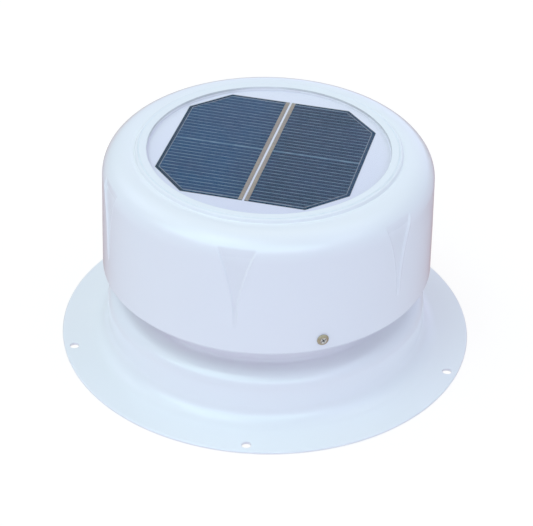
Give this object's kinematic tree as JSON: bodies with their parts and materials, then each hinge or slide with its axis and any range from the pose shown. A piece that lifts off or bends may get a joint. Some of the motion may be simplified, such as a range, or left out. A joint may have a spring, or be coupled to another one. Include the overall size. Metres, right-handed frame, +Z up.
{
  "type": "solar attic fan",
  "caption": "Round roof ventilator with a flanged bell, a rain hood carrying a solar panel, and a motor-driven impeller that exhausts air under the hood.",
  "frame": {"origin": "centre of the flange's underside, on the fan's axis", "axes": "+Z up along the fan's axis, from the roof to the solar panel; -Y towards the flange hole nearest the front of the reference view; +X to its right"},
  "size_m": [0.2732, 0.2732, 0.1412],
  "materials": {
    "white_shell": "gloss white UV-stable moulding with a faint cool cast",
    "white_sealant": "translucent white silicone bead",
    "white_board": "satin white board",
    "silicon_cell": "blue-black coated silicon with silver printed fingers",
    "tinned_ribbon": "tinned copper, slightly tarnished",
    "clear_film": "clear laminating film",
    "clear_window": "clear front sheet, gloss",
    "yellow_zinc": "yellow zinc plated steel",
    "bright_screw": "bright zinc plated steel",
    "black_rubber": "black rubber",
    "red_sleeve": "red insulation",
    "black_sleeve": "black insulation",
    "natural_nylon": "natural nylon",
    "white_frame": "satin white moulding",
    "zinc_steel": "zinc plated drawn steel",
    "ferrite": "sintered ferrite",
    "sintered_bronze": "oil-filled sintered bronze",
    "black_cap": "black moulded cap",
    "carbon": "carbon",
    "copper": "copper",
    "ground_steel": "ground steel",
    "core_steel": "stacked electrical steel",
    "enamelled_wire": "enamelled copper wire",
    "white_blades": "white moulding"
  },
  "bodies": {
    "housing": {"base_flange": "white_shell", "hood_cover": "white_shell", "cover_screws": "yellow_zinc", "panel_bezel": "white_shell", "bezel_sealant": "white_sealant", "panel_substrate": "white_board", "solar_cell_left": "silicon_cell", "solar_cell_right": "silicon_cell", "busbar_ribbons": "tinned_ribbon", "panel_terminals": "tinned_ribbon", "panel_encapsulant": "clear_film", "panel_window": "clear_window", "lead_grommet": "black_rubber", "lead_red": "red_sleeve", "lead_black": "black_sleeve", "connector_plug": "natural_nylon", "connector_socket": "natural_nylon", "motor_bracket": "white_frame", "bracket_screws": "bright_screw", "motor_screws": "bright_screw", "inlet_guard": "white_frame", "guard_screws": "bright_screw", "motor_can": "zinc_steel", "motor_magnets": "ferrite", "motor_bush_front": "sintered_bronze", "motor_bush_rear": "sintered_bronze", "motor_end_cap": "black_cap", "motor_brushes": "carbon", "motor_terminals": "copper"},
    "rotor": {"motor_shaft": "ground_steel", "armature_core": "core_steel", "armature_windings": "enamelled_wire", "commutator_sleeve": "natural_nylon", "commutator_segments": "copper", "thrust_washers": "natural_nylon", "impeller": "white_blades", "impeller_nut": "bright_screw"}
  },
  "joints": [
    {"name": "rotor_spin", "type": "hinge", "parent": "housing", "child": "rotor", "pos_m": [0, 0, 0.065], "axis": [0, 0, 1], "continuous": true}
  ]
}
